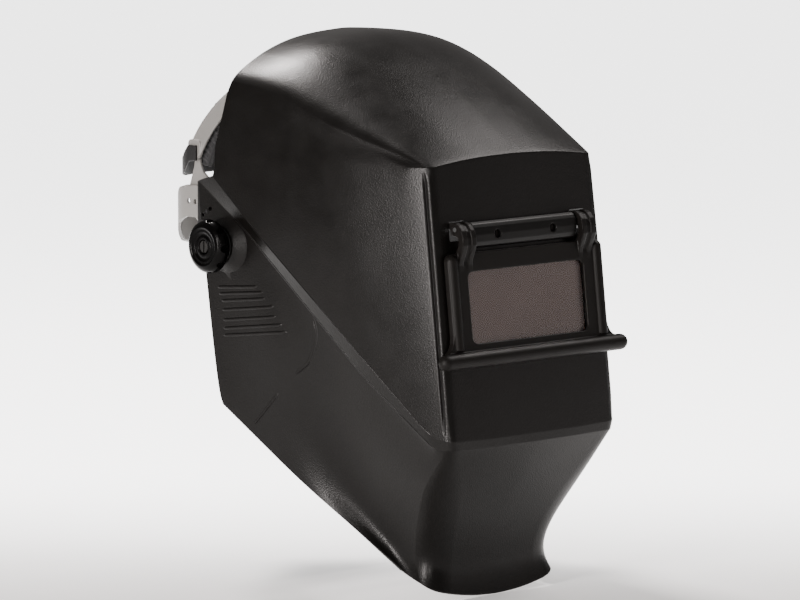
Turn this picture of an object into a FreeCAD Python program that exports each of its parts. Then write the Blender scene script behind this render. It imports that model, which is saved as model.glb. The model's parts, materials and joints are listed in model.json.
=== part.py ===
import FreeCAD, Part
import os, math
from FreeCAD import Vector, Matrix

# Welding helmet with lift-front lens holder and ratchet headgear.
# Millimetres. +Z up, front of the helmet faces -Y, the wearer's right side is -X.
# Origin: midpoint of the two tilt pivots.
os.makedirs("parts", exist_ok=True)

# ---------------------------------------------------------------- driving dimensions
WALL = 2.3               # shell thickness
STEP = 2.6               # depth of the step between upper and lower side walls
LEAN = math.radians(6.95)  # lean of the face plane
FACE_O = Vector(0, -154.5, -32.0)   # centre of the window on the face plane
PLATE_W, PLATE_H = 108.0, 50.8      # standard filter plate, 4 1/4 x 2 in
VIEW_W, VIEW_H, VIEW_V = 100.4, 45.5, -1.25   # clear window of the lift frame, its centre up the face
HINGE_V, HINGE_N = 48.6, 3.2        # lift-front hinge rod in face coordinates
ROD_R = 1.5
BAR_W = 89.2                        # hinge bar length
PY, PZ = 12.5, -3.2                 # tilt pivot, from the centre of the frame
KNOB_R = 17.4                       # tilt tension knob
STUD_R = 4.92                       # pivot stud shoulder
BORE_R = 5.0                        # pivot bore in the shell
BOSS_OUT, BOSS_IN = 112.2, 103.4    # faces of the pivot boss, from the centre plane
STOP_R = 25.0                       # radius of the angle-stop holes about the pivot
STOP_ANG = (46.0, 54.5, 63.0)       # their angles above +Y
BAND_A, BAND_B, BAND_CY = 80.0, 82.0, 16.0    # headband outer half width, front depth, centre
BAND_T = 2.0
REAR_CY, REAR_B = 80.5, 42.0        # rear band centre and depth
RATCHET_Z = -8.0                    # height of the ratchet axis
SLIDE = 22.0                        # travel of the rear band

# plan curve of the side wall at pivot height: (y, half width)
SIDE = [(-146.5, 69.4), (-141, 73.0), (-133, 77.6), (-122, 82.6), (-110, 86.8), (-95, 91.0), (-75, 95.8),
        (-55, 100.0), (-30, 104.6), (0, 109.0), (25, 112.0), (50, 114.0)]

# ---------------------------------------------------------------- small helpers
def save(shape, name):
    if shape.ShapeType != "Compound" or len(shape.Solids) == 1:
        shape = shape.Solids[0] if len(shape.Solids) == 1 else shape
    n = len(shape.Solids)
    ok = shape.isValid()
    print("%-24s solids %d valid %s vol %.1f faces %d" % (name, n, ok, sum(s.Volume for s in shape.Solids), len(shape.Faces)))
    shape.exportStep("parts/%s.step" % name)

def mirror(s):
    return s.mirror(Vector(0, 0, 0), Vector(1, 0, 0))

def cylx(x0, x1, r, y=0.0, z=0.0):
    return Part.makeCylinder(r, abs(x1 - x0), Vector(min(x0, x1), y, z), Vector(1, 0, 0))

def cyly(y0, y1, r, x=0.0, z=0.0):
    return Part.makeCylinder(r, abs(y1 - y0), Vector(x, min(y0, y1), z), Vector(0, 1, 0))

def box(x0, x1, y0, y1, z0, z1):
    return Part.makeBox(x1 - x0, y1 - y0, z1 - z0, Vector(x0, y0, z0))

def rbox(x0, x1, y0, y1, z0, z1, r, axis="z"):
    """box with its four edges along one axis rounded"""
    b = box(x0, x1, y0, y1, z0, z1)
    k = {"x": 0, "y": 1, "z": 2}[axis]
    es = []
    for e in b.Edges:
        d = e.Vertexes[1].Point - e.Vertexes[0].Point
        if abs((d.x, d.y, d.z)[k]) > 0.9 * d.Length:
            es.append(e)
    return b.makeFillet(r, es)

def fillet_try(s, r, pick):
    es = [e for e in s.Edges if pick(e)]
    try:
        f = s.makeFillet(r, es)
        if f.isValid() and len(f.Solids) == len(s.Solids):
            return f
    except Exception:
        pass
    return s

def poly_x(pts, x0, x1, smooth=False):
    """closed outline in (y, z), extruded along x"""
    if smooth:
        c = Part.BSplineCurve()
        c.interpolate([Vector(x0, p[0], p[1]) for p in pts], PeriodicFlag=True)
        w = Part.Wire([c.toShape()])
    else:
        v = [Vector(x0, p[0], p[1]) for p in pts]
        w = Part.makePolygon(v + [v[0]])
    return Part.Face(w).extrude(Vector(x1 - x0, 0, 0))

def oval(a, bf, cyf, br, cyr, z0, z1):
    """plan oval: front half ellipse (a, bf) about cyf, straight sides, rear half ellipse (a, br) about cyr"""
    def half(a, b, cy, front):
        if a >= b:
            e = Part.Ellipse(Vector(0, 0, 0), a, b).toShape()
        else:
            e = Part.Ellipse(Vector(0, 0, 0), b, a).toShape()
            e.rotate(Vector(0, 0, 0), Vector(0, 0, 1), 90)
        f = Part.Face(Part.Wire([e]))
        s = f.extrude(Vector(0, 0, z1 - z0))
        s.translate(Vector(0, cy, z0))
        c = box(-a - 5, a + 5, cy - b - 5, cy, z0 - 1, z1 + 1) if front else box(-a - 5, a + 5, cy, cy + b + 5, z0 - 1, z1 + 1)
        return s.common(c)
    s = half(a, bf, cyf, True)
    s = s.fuse(box(-a, a, cyf, cyr, z0, z1)).fuse(half(a, br, cyr, False))
    return s.removeSplitter()

# face coordinates: u to the wearer's left, v up the face, n outwards
CA, SA = math.cos(LEAN), math.sin(LEAN)
def face_matrix():
    m = Matrix()
    m.A11, m.A21, m.A31 = 1, 0, 0
    m.A12, m.A22, m.A32 = 0, SA, CA
    m.A13, m.A23, m.A33 = 0, -CA, SA
    m.A14, m.A24, m.A34 = FACE_O.x, FACE_O.y, FACE_O.z
    return m
FM = face_matrix()
def onface(s):
    t = s.copy()
    t.transformShape(FM)
    return t
def fbox(u0, u1, v0, v1, n0, n1, r=0.0):
    return box(u0, u1, v0, v1, n0, n1) if r == 0 else rbox(u0, u1, v0, v1, n0, n1, r, "z")

# ---------------------------------------------------------------- shell surface
def lerp(a, b, t): return a + (b - a) * t

def interp(tab, x):
    n = len(tab)
    if x <= tab[0][0]: return tab[0][1] + (tab[1][1]-tab[0][1])/(tab[1][0]-tab[0][0])*(x-tab[0][0])
    if x >= tab[-1][0]: return tab[-1][1] + (tab[-1][1]-tab[-2][1])/(tab[-1][0]-tab[-2][0])*(x-tab[-1][0])
    d = [(tab[i+1][1]-tab[i][1])/(tab[i+1][0]-tab[i][0]) for i in range(n-1)]
    m = [d[0]]
    for i in range(1, n-1):
        m.append(0.0 if d[i-1]*d[i] <= 0 else 2.0/(1.0/d[i-1]+1.0/d[i]))
    m.append(d[-1])
    for i in range(n-1):
        if x <= tab[i+1][0]:
            h = tab[i+1][0]-tab[i][0]; t = (x-tab[i][0])/h
            return ((2*t**3-3*t*t+1)*tab[i][1] + (t**3-2*t*t+t)*h*m[i] + (-2*t**3+3*t*t)*tab[i+1][1] + (t**3-t*t)*h*m[i+1])

def W(y, z):
    """half width of the side wall at (y, z)"""
    w = interp(SIDE, y)
    t = max(0.0, z - 20.0) / 100.0
    k = min(1.0, max(0.0, (y + 146.0) / 60.0))
    w -= (6.0 * t + 5.0 * t * t) * k
    b = max(0.0, -z - 20.0) / 100.0
    return w - 2.5 * b * k

def side(y, z, d=0.0): return (W(y, z) - d, y, z)

# key rows of the shell: level, seven corner points from the front centre line to the rear edge, rounding lengths
# levels: 0 bottom rim, 1 neck, 2 foot of the step, 2.2 head of the step, 4 brow, 6 rear rim
KEYS = [
 (0.0, [(0,-129.5,-223.5), (22,-129.3,-222.8), (54.5,-129.0,-216.0), (56.5,-108,-209.0), (60,-97,-200.5), (88,-40,-153.0), (107.0,14.5,-107.0)], [0,14,15,8,8,20,0]),
 (1.0, [(0,-129.0,-186), (19,-128.9,-186), (55.0,-129.5,-184.5), (58,-100,-177), (68,-77,-157), (94.5,-35,-110), (108.6,20.5,-78)], [0,12,17,14,14,20,0]),
 (1.5, [(0,-146.5,-154), (24,-146.2,-154), (66.0,-147.0,-152.5), (69.5,-122,-142), (81,-88,-112), (100.5,-32,-60), (110.0,27,-26)], [0,14,17,14,14,20,0]),
 (1.9, [(0,-161.5,-127), (38,-161.3,-126.6), (69.3,-160.8,-125.5), (72.5,-151,-124), (85.5,-99,-84.5), (105.4,-7,3.2), (110.5,33.0,24)], [0,14,6,6,14,16,0]),
 (2.0, [(0,-164.5,-121.5), (38,-164.3,-121.3), (70.2,-163.7,-120.8), (73.6,-152,-121.5), side(-100,-80.6,STEP), side(-6,8.0,STEP), side(34.0,36.5,STEP*.5)], [0,14,5,5,14,12,0]),
 (2.2, [(0,-164.7,-116), (38,-164.7,-116), (71.2,-164.2,-115.2), (75.6,-150,-113.5), side(-100,-67.0), side(-17,8.2), side(20.5,40.5)], [0,12,4.6,12,14,12,0]),
 (3.0, [(0,-153.75,-26), (38,-153.75,-26), (70.3,-153.2,-25.7), (77.8,-135,-19), side(-92,-1.6), side(-37,22.0), side(19.6,44.5)], [0,12,4.6,21,14,20,0]),
 (4.0, [(0,-143.2,60.5), (36,-143.0,59.6), (69.4,-142.4,55.6), (77.5,-125,55.2), side(-85,55.0), side(-35,53.0), side(19.5,47)], [0,16,4.2,18,14,20,0]),
 (4.15, [(0,-139.3,63.5), (36,-139.1,62.5), (69.6,-138.5,58.0), (77.0,-122,56.9), side(-83,56.4), side(-34,54), side(19.5,48.5)], [0,16,4.5,18,14,20,0]),
 (5.0, [(0,-77,104.5), (45,-76,102.0), (86.0,-72,85.0), side(-60,76), side(-42,70), side(-10,61), side(19.8,52.5)], [0,24,13,8,10,12,0]),
 (5.6, [(0,-24,129.8), (50,-23.5,126.8), (94.5,-20,104.0), side(-14,93), side(-6,82), side(7,69), side(19.8,56.5)], [0,28,20,8,10,12,0]),
 (6.0, [(0,17,131.0), (50,16.5,128.0), (97.0,12,108.0), side(13.5,95), side(15,84), side(18,70), side(20.0,59)], [0,30,24,8,8,8,0]),
]
FOLDS = (2.0, 2.2, 4.0)

def interp_cr(tab, x):
    n = len(tab)
    if n == 2:
        t = (x-tab[0][0])/(tab[1][0]-tab[0][0]); return lerp(tab[0][1], tab[1][1], t)
    d = [(tab[i+1][1]-tab[i][1])/(tab[i+1][0]-tab[i][0]) for i in range(n-1)]
    h = [tab[i+1][0]-tab[i][0] for i in range(n-1)]
    m = [0]*n
    for i in range(1, n-1): m[i] = (d[i-1]*h[i]+d[i]*h[i-1])/(h[i]+h[i-1])
    m[0] = 1.4*d[0]-0.4*m[1]
    m[-1] = 1.4*d[-1]-0.4*m[-2]
    for i in range(n-1):
        if x <= tab[i+1][0] + 1e-9:
            hh = h[i]; t = (x-tab[i][0])/hh
            return ((2*t**3-3*t*t+1)*tab[i][1] + (t**3-2*t*t+t)*hh*m[i] + (-2*t**3+3*t*t)*tab[i+1][1] + (t**3-t*t)*hh*m[i+1])

def hsp(ks, vs, v, fold):
    segs = []
    for i, k in enumerate(ks):
        if not segs: segs.append([i])
        else: segs[-1].append(i)
        if k in fold and i < len(ks)-1: segs.append([i])
    for s in segs:
        if v <= ks[s[-1]] + 1e-9:
            return interp_cr([(ks[i], vs[i]) for i in s], v)

def row(v, nl, na):
    ks = [k[0] for k in KEYS]
    P = [[hsp(ks, [k[1][j][c] for k in KEYS], v, FOLDS) for c in range(3)] for j in range(7)]
    R = [hsp(ks, [k[2][j] for k in KEYS], v, FOLDS) for j in range(7)]
    def sub(a, b): return [a[i]-b[i] for i in range(3)]
    def ln(a): return math.sqrt(sum(x*x for x in a))
    def mix(a, b, t): return [a[i]+(b[i]-a[i])*t for i in range(3)]
    seg = [ln(sub(P[j+1], P[j])) for j in range(6)]
    A, B = [None]*7, [None]*7
    for j in range(1, 6):
        r0 = min(R[j], 0.48*seg[j-1] if j > 1 else 0.9*seg[0]); r1 = min(R[j], 0.48*seg[j] if j < 5 else 0.9*seg[5])
        A[j] = mix(P[j], P[j-1], r0/seg[j-1]); B[j] = mix(P[j], P[j+1], r1/seg[j])
    B[0] = P[0]; A[6] = P[6]
    out = []
    for j in range(6):
        n = nl[j]
        for i in range(n):
            out.append(mix(B[j], A[j+1], i/float(n)))
        if j < 5:
            for i in range(na):
                t = i/float(na)
                out.append([(1-t)**2*A[j+1][c]+2*t*(1-t)*P[j+1][c]+t*t*B[j+1][c] for c in range(3)])
    out.append(P[6])
    return out

LEVELS = [0, .15, .4, .7, 1.0, 1.25, 1.5, 1.7, 1.84, 1.93, 1.98, 2.02, 2.1, 2.18, 2.24, 2.34, 2.55, 2.8, 3.1, 3.4, 3.65,
          3.84, 3.94, 3.985, 4.02, 4.07, 4.16, 4.36, 4.6, 4.85, 5.1, 5.35, 5.6, 5.8, 5.93, 6.0]
NL, NA = [2, 3, 2, 3, 4, 3], 4

def shell_grid():
    g = []
    for v in LEVELS:
        r = row(v, NL, NA)
        full = [(-p[0], p[1], p[2]) for p in reversed(r[1:])] + [tuple(p) for p in r]
        g.append([Vector(*p) for p in full])
    return g

def offset_grid(g, d):
    m, n = len(g), len(g[0])
    out = []
    for i in range(m):
        line = []
        for j in range(n):
            a = g[min(i+1, m-1)][j] - g[max(i-1, 0)][j]
            b = g[i][min(j+1, n-1)] - g[i][max(j-1, 0)]
            nn = b.cross(a)
            nn.normalize()
            line.append(g[i][j] - nn * d)
        out.append(line)
    return out

def bsurf(g):
    m, n = len(g), len(g[0])
    s = Part.BSplineSurface()
    ku, kv = list(range(m - 2)), list(range(n - 2))
    s.buildFromPolesMultsKnots(g, [4] + [1]*(m-4) + [4], [4] + [1]*(n-4) + [4], ku, kv, False, False, 3, 3)
    return s

def border(s):
    u0, u1, v0, v1 = s.bounds()
    return [s.uIso(u0).toShape(), s.uIso(u1).toShape(), s.vIso(v0).toShape(), s.vIso(v1).toShape()]

grid = shell_grid()
test = offset_grid(grid, 1.0)
mid = len(grid[0]) // 2
sgn = 1.0 if test[18][mid].y > grid[18][mid].y else -1.0
inner = offset_grid(grid, sgn * WALL)
so, si = bsurf(grid), bsurf(inner)
faces = [so.toShape(), si.toShape()]
for a, b in zip(border(so), border(si)):
    faces.append(Part.makeRuledSurface(a, b))
sh = Part.Shell([]) if False else Part.makeShell(faces)
sh.sewShape()
shell = Part.Solid(sh)
if shell.Volume < 0:
    shell.reverse()
print("shell raw valid", shell.isValid(), "closed", sh.isClosed(), "vol", shell.Volume)

# pivot bosses, bores, angle-stop holes, window, hinge slots, hinge screw holes
for s in (-1, 1):
    boss = cylx(s * BOSS_IN, s * (BOSS_OUT - 3.0), 20.0, PY, PZ).common(cylx(s * BOSS_IN, s * 107.0, 20.0, PY, PZ))
    boss = boss.fuse(Part.makeCone(20.0, 13.6, 7.0, Vector(s * (BOSS_OUT - 7.0), PY, PZ), Vector(s, 0, 0)))
    shell = shell.fuse(boss)
for s in (-1, 1):
    shell = shell.cut(cylx(s * 95, s * 120, BORE_R, PY, PZ))
    for a in STOP_ANG:
        shell = shell.cut(cylx(s * 100, s * 120, 1.3, PY + STOP_R * math.cos(math.radians(a)), PZ + STOP_R * math.sin(math.radians(a))))
OPEN_U, OPEN_V0, OPEN_V1 = 57.6, -31.4, 28.4
shell = shell.cut(onface(fbox(-OPEN_U, OPEN_U, OPEN_V0, OPEN_V1, -8, 6, 3.0)))
for s in (-1, 1):
    u0, u1 = sorted((s * 45.4, s * 58.8))
    shell = shell.cut(onface(fbox(u0, u1, 41.4, 53.9, -8, 6, 0.8)))
    shell = shell.cut(onface(Part.makeCylinder(1.6, 14, Vector(s * 24, 43.8, -8), Vector(0, 0, 1))))
save(shell, "shell")


# ---------------------------------------------------------------- hinge bar on the face
prof = [(35.8, 0.45), (35.8, 3.0), (37.2, 5.0), (39.6, 6.3), (44.0, 6.9), (48.4, 6.4), (51.0, 5.2), (52.4, 3.2), (52.4, 0.45)]
def vn_prism(pts, u0, u1, smooth=False):
    """outline in (v, n) extruded along u, in face coordinates"""
    v = [Vector(u0, p[0], p[1]) for p in pts]
    w = Part.makePolygon(v + [v[0]])
    return Part.Face(w).extrude(Vector(u1 - u0, 0, 0))
bar = vn_prism(prof, -BAR_W/2, BAR_W/2)
bar = bar.cut(Part.makeCylinder(ROD_R + 0.08, BAR_W + 2, Vector(-BAR_W/2 - 1, HINGE_V, HINGE_N), Vector(1, 0, 0)))
screws, nuts = [], []
for s in (-1, 1):
    c = Vector(s * 24, 43.8, 0)
    bar = bar.cut(Part.makeCylinder(1.6, 10, c + Vector(0, 0, -1), Vector(0, 0, 1)))
    bar = bar.cut(Part.makeCylinder(2.75, 8, c + Vector(0, 0, 2.6), Vector(0, 0, 1)))
    sc = Part.makeCylinder(1.5, 9.4, c + Vector(0, 0, -6.8), Vector(0, 0, 1)).fuse(Part.makeCylinder(2.5, 1.9, c + Vector(0, 0, 2.6), Vector(0, 0, 1)))
    sc = sc.cut(box(c.x - 0.4, c.x + 0.4, c.y - 3, c.y + 3, 3.7, 6))
    screws.append(onface(sc))
    hx = [Vector(c.x + 3.3*math.cos(math.radians(60*k)), c.y + 3.3*math.sin(math.radians(60*k)), -5.4) for k in range(6)]
    nt = Part.Face(Part.makePolygon(hx + [hx[0]])).extrude(Vector(0, 0, 2.4))
    nt = nt.fuse(Part.makeCylinder(4.2, 0.6, c + Vector(0, 0, -3.05), Vector(0, 0, 1)))
    nuts.append(onface(nt.cut(Part.makeCylinder(1.52, 8, c + Vector(0, 0, -8), Vector(0, 0, 1)))))
save(onface(bar), "hinge_bar")
save(Part.makeCompound(screws), "hinge_bar_screws")
save(Part.makeCompound(nuts), "hinge_bar_nuts")

# ---------------------------------------------------------------- lift front
V0 = VIEW_V
frame = fbox(-66.5, 66.5, -36, 33.7, 0.5, 4.5, 5.0)
# rounded side ribs
for s in (-1, 1):
    rib = Part.makeCylinder(3.9, 56, Vector(s * 62.4, -27, 3.3), Vector(0, 1, 0))
    rib = rib.common(box(-80, 80, -40, 40, 0.5, 12)).fuse(Part.makeSphere(3.9, Vector(s * 62.4, 29, 3.3)).common(box(-80, 80, -40, 40, 0.5, 12)))
    frame = frame.fuse(rib)
    # flare down to the handle bar
    pts = [Vector(s*60, -36, 0.5), Vector(s*60, -14, 0.5), Vector(s*66.5, -18, 0.5), Vector(s*67.2, -22.5, 0.5), Vector(s*69.2, -26.2, 0.5), Vector(s*72.8, -29.2, 0.5), Vector(s*76, -30.5, 0.5), Vector(s*76, -36, 0.5)]
    frame = frame.fuse(Part.Face(Part.makePolygon(pts + [pts[0]])).extrude(Vector(0, 0, 4.4)))
handle = Part.makeCylinder(5.2, 150.6, Vector(-75.3, -33.6, 5.6), Vector(1, 0, 0))
for s in (-1, 1):
    handle = handle.fuse(Part.makeSphere(5.2, Vector(s * 75.3, -33.6, 5.6)))
frame = frame.fuse(handle)
# gooseneck arms
ARM = [(22, 0.5), (22, 4.5), (26, 4.9), (30, 6.4), (34, 8.8), (38, 10.5), (43, 10.9), (47.4, 9.9), (51, 7.4), (52.8, 4.4), (53.2, 1.0), (53.0, -3.4), (49.4, -3.4), (48.8, -1.2),
       (46.2, -0.6), (44.7, 1.2), (44.2, 3.6), (43.2, 5.6), (40.6, 6.2), (37.6, 5.2), (34.6, 3.0), (31.6, 1.2), (29, 0.5)]
for s in (-1, 1):
    for (a, b, cut) in ((46.2, 49.9, 0.0), (49.9, 53.6, 1.1), (53.6, 57.6, 0.0)):
        u0, u1 = sorted((s * a, s * b))
        arm = vn_prism(ARM, u0, u1)
        if cut:
            # shallow valley between the two ridges of an arm
            outer = [(p[0], p[1]) for p in ARM[1:12]]
            band = outer + [(p[0] - (0.0 if i < 8 else cut), p[1] - (cut if i < 10 else 0.0)) for i, p in reversed(list(enumerate(outer)))]
            arm = arm.cut(vn_prism([(20, 3.4), (20, 20), (60, 20), (60, -3.4), (51.9, -3.4), (52.0, 1.0), (51.6, 4.1), (50.2, 6.6), (47.0, 8.9), (43, 9.8), (38.3, 9.4), (34.6, 7.7), (30.5, 5.3), (26.4, 3.8), (22, 3.4)], u0, u1))
        frame = frame.fuse(arm)
frame = frame.fuse(fbox(-56.4, 56.4, -29.3, 26.8, -9.0, 2.0, 2.5))
frame = frame.cut(fbox(-PLATE_W/2 - 0.3, PLATE_W/2 + 0.3, V0 - PLATE_H/2 - 0.3, V0 + PLATE_H/2 + 0.3, -10, 2.5))
frame = frame.cut(fbox(-VIEW_W/2, VIEW_W/2, V0 - VIEW_H/2, V0 + VIEW_H/2, 0, 14, 3.0))
frame = frame.cut(Part.makeCylinder(ROD_R, 130, Vector(-65, HINGE_V, HINGE_N), Vector(1, 0, 0)))
frame = frame.removeSplitter()
save(onface(frame), "lift_frame")
save(onface(Part.makeCylinder(ROD_R, 114.4, Vector(-57.2, HINGE_V, HINGE_N), Vector(1, 0, 0))), "hinge_rod")

def plate(n0, n1): return fbox(-PLATE_W/2, PLATE_W/2, V0 - PLATE_H/2, V0 + PLATE_H/2, n0, n1)
def gasket(n0, n1):
    return plate(n0, n1).cut(fbox(-VIEW_W/2 - 0.6, VIEW_W/2 + 0.6, V0 - VIEW_H/2 - 0.3, V0 + VIEW_H/2 + 0.3, n0 - 1, n1 + 1, 3.0))
def wire(pts, n, r=0.8):
    s = None
    for a, b in zip(pts[:-1], pts[1:]):
        p, q = Vector(a[0], a[1], n), Vector(b[0], b[1], n)
        d = q - p
        c = Part.makeCylinder(r, d.Length, p, d).fuse(Part.makeSphere(r, q))
        s = c if s is None else s.fuse(c)
    return s.fuse(Part.makeSphere(r, Vector(pts[0][0], pts[0][1], n)))
CLIP = [(-52.5, V0 - 3), (-53.3, V0 + 9), (-52.6, V0 + 23.6), (-30, V0 + 24.3), (0, V0 + 23.7), (30, V0 + 24.3), (52.6, V0 + 23.6), (53.3, V0 + 9), (52.5, V0 - 3)]
save(onface(plate(0.9, 2.45)), "cover_plate")
save(onface(gasket(-0.1, 0.9)), "lift_gasket")
save(onface(plate(-3.3, -0.1)), "filter_plate")
save(onface(wire(CLIP, -4.15)), "lift_retainer")

# ---------------------------------------------------------------- fixed lens holder behind the face
hold = fbox(-61.4, 61.4, -35.2, 32.2, -12.8, -2.85, 4.0)
hold = hold.cut(fbox(-58.0, 58.0, -31.9, 28.9, -10.8, 0, 3.0))
hold = hold.fuse(fbox(-57.6, 57.6, -30.5, 28.0, -18.6, -12.8, 2.5))
hold = hold.cut(fbox(-PLATE_W/2 - 0.3, PLATE_W/2 + 0.3, V0 - PLATE_H/2 - 0.3, V0 + PLATE_H/2 + 0.3, -20, -12.8))
hold = hold.cut(fbox(-VIEW_W/2, VIEW_W/2, V0 - VIEW_H/2, V0 + VIEW_H/2, -20, 0, 3.0))
save(onface(hold.removeSplitter()), "lens_holder")
save(onface(gasket(-13.8, -12.8)), "fixed_gasket")
save(onface(plate(-15.4, -13.8)), "safety_plate")
save(onface(wire(CLIP, -16.25)), "fixed_retainer")

# ---------------------------------------------------------------- headband
band_ring = oval(BAND_A, BAND_B, BAND_CY, 40.0, 80.5, -60, 120).cut(oval(BAND_A - BAND_T, BAND_B - BAND_T, BAND_CY, 38.0, 80.5, -61, 121))
band_side = [(-90, 10), (-66, 9.5), (-30, 6.0), (0, 3.6), (40, 3.2), (62, 3.4), (72, 5.2), (78.4, 11.5), (80.3, 20.5), (79.8, 28.0), (77.2, 35.0), (75.0, 41.0), (74.3, 48), (74.2, 57.5),
             (70.2, 57.5), (69.9, 48), (68.8, 42.5), (66.2, 37.8), (62.0, 34.8), (54, 34.0), (20, 34.6), (-20, 38.0), (-60, 41.0), (-90, 41.5)]
headband = band_ring.common(poly_x(band_side, -100, 100))
rivets = {}
RIVETS = ((0.5, 14.5), (24.5, 14.5))
band_core = oval(BAND_A + 0.02, BAND_B + 0.02, BAND_CY, 40.0, 80.5, -60, 120)
def band_in(y):
    """half width of the band's inner face at y"""
    t = min(0.0, (y - BAND_CY)) / (BAND_B - BAND_T)
    return (BAND_A - BAND_T) * math.sqrt(1 - t * t)
for s, nm in ((-1, "right"), (1, "left")):
    for (y, z) in RIVETS:
        headband = headband.cut(cylx(s*60, s*90, 2.02, y, z))
for s, nm in ((-1, "right"), (1, "left")):
    rv = []
    for (y, z) in RIVETS:
        xi = band_in(y)
        head = cylx(s*(xi - 1.8), s*(xi + 0.6), 3.6, y, z).cut(headband.copy())
        head = sorted(head.Solids, key=lambda q: -q.Volume)[0]
        rv.append(cylx(s*(xi - 1.7), s*83.0, 1.98, y, z).fuse(head).fuse(cylx(s*82.5, s*83.7, 3.6, y, z)).removeSplitter())
    rivets[nm] = Part.makeCompound(rv)
    save(rivets[nm], "bracket_rivets_" + nm)
save(headband, "headband")

# brow pad: the cushion inside the front of the band
pad_ring = oval(77.9, 79.9, BAND_CY, 30.0, 60.0, 0, 60).cut(oval(73.4, 75.4, BAND_CY, 26.0, 60.0, -1, 61))
pad_side = [(-90, 7.5), (-60, 7.2), (-20, 6.5), (14, 6.8), (22, 12), (24, 21), (22, 31), (14, 36.4), (-20, 39.6), (-60, 43.0), (-90, 43.6)]
save(pad_ring.common(poly_x(pad_side, -100, 100)).cut(Part.makeCompound([rivets["left"], rivets["right"]])), "sweatband")

# ---------------------------------------------------------------- pivot brackets, studs, stop arms, washers, tension knobs
def radial_box(s, ang, r0, r1, p0, p1, x0, x1):
    """box along a radius at the pivot: radial r0..r1, across p0..p1, along |x| x0..x1"""
    a = math.radians(ang)
    c, d = (math.cos(a), math.sin(a)), (-math.sin(a), math.cos(a))
    pts = [(PY + r*c[0] + q*d[0], PZ + r*c[1] + q*d[1]) for r, q in ((r0, p0), (r1, p0), (r1, p1), (r0, p1))]
    return poly_x(pts, s * x0, s * x1)
TILT = 62.0
def bracket(s):
    X = Vector(s, 0, 0)
    br = cylx(s*80.05, s*82.5, 27.0, PY, PZ)
    br = br.fuse(Part.makeCone(16.6, 13.0, 18.4, Vector(s*82.5, PY, PZ), X))
    br = br.fuse(radial_box(s, STOP_ANG[1], 16.0, 24.5, 4.85, 10.0, 82.0, 103.0))
    br = br.fuse(radial_box(s, STOP_ANG[1] - TILT, 16.0, 24.5, -10.0, -4.85, 82.0, 103.0))
    for k in range(4):
        br = br.fuse(radial_box(s, 155 + 40*k, 10, 24.5, -1.2, 1.2, 82.0, 90.0))
    for (y, z) in RIVETS:
        br = br.fuse(cylx(s*72, s*81.3, 5.2, y, z).cut(band_core.copy()))
    br = br.removeSplitter()
    br = br.cut(cylx(s*80, s*110, STUD_R + 0.02, PY, PZ)).cut(cylx(s*79, s*83.6, 9.1, PY, PZ))
    for (y, z) in RIVETS:
        br = br.cut(cylx(s*70, s*82.6, 2.02, y, z)).cut(cylx(s*82.5, s*90, 3.9, y, z))
    return br.removeSplitter()
bracket_left = bracket(1)
for s, nm in ((-1, "right"), (1, "left")):
    X = Vector(s, 0, 0)
    br = mirror(bracket_left) if s < 0 else bracket_left
    save(br, "pivot_bracket_" + nm)
    stud = cylx(s*80.15, s*83.6, 9.0, PY, PZ).fuse(cylx(s*83.6, s*113.0, STUD_R, PY, PZ)).fuse(cylx(s*113.0, s*124.3, 3.9, PY, PZ))
    stud = stud.cut(box(min(s*122.7, s*126), max(s*122.7, s*126), PY - 0.6, PY + 0.6, PZ - 5, PZ + 5))
    save(stud.removeSplitter(), "pivot_stud_" + nm)
    arm = cylx(s*101.3, s*103.4, 11.0, PY, PZ)
    arm = arm.fuse(radial_box(s, STOP_ANG[1], 0, STOP_R, -4.5, 4.5, 101.3, 103.4))
    py, pz = PY + STOP_R*math.cos(math.radians(STOP_ANG[1])), PZ + STOP_R*math.sin(math.radians(STOP_ANG[1]))
    arm = arm.fuse(cylx(s*101.3, s*103.4, 4.5, py, pz)).fuse(cylx(s*103.4, s*109.9, 1.24, py, pz)).fuse(cylx(s*103.4, s*106.0, 2.4, py, pz))
    arm = arm.cut(cylx(s*99, s*105, BORE_R + 0.2, PY, PZ))
    save(arm.removeSplitter(), "stop_arm_" + nm)
    wsh = cylx(s*112.2, s*113.0, 12.4, PY, PZ).cut(cylx(s*111, s*114, BORE_R + 0.2, PY, PZ))
    save(wsh, "pivot_washer_" + nm)
    # knob: lobed rim drawn in to its foot, stepped cap
    p = [(113.3, 5.4), (113.3, 12.8), (114.4, 13.8), (116.2, 15.4), (117.8, 16.9), (118.9, KNOB_R), (120.7, KNOB_R), (122.3, 16.9), (123.8, 15.9), (124.9, 14.5), (125.4, 13.2), (125.5, 12.2),
         (124.9, 11.5), (124.9, 9.2), (124.2, 8.8), (124.2, 6.9), (124.8, 6.5), (124.8, 5.1), (124.0, 4.5), (120.8, 4.5), (120.8, 5.4)]
    w = Part.makePolygon([Vector(s*a, PY + b, PZ) for a, b in p] + [Vector(s*p[0][0], PY + p[0][1], PZ)])
    kn = Part.Face(w).revolve(Vector(0, PY, PZ), Vector(1, 0, 0), 360)
    if kn.Volume < 0: kn.reverse()
    kn = Part.Solid(kn) if kn.ShapeType == "Shell" else kn
    for k in range(9):
        a = math.radians(40*k + 20)
        kn = kn.cut(Part.makeCone(3.6, 4.6, 16.0, Vector(s*111.5, PY + 20.3*math.cos(a), PZ + 20.3*math.sin(a)), X))
    hexi = [Vector(s*113.5, PY + 7.6*math.cos(math.radians(60*k)), PZ + 7.6*math.sin(math.radians(60*k))) for k in range(6)]
    hexs = Part.Face(Part.makePolygon(hexi + [hexi[0]])).extrude(Vector(s*6.5, 0, 0))
    kn = kn.cut(hexs).cut(cylx(s*112, s*120.9, 4.4, PY, PZ))
    save(kn, "tension_knob_" + nm)
    save(hexs.cut(cylx(s*112, s*125, 3.98, PY, PZ)), "knob_insert_" + nm)

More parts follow.
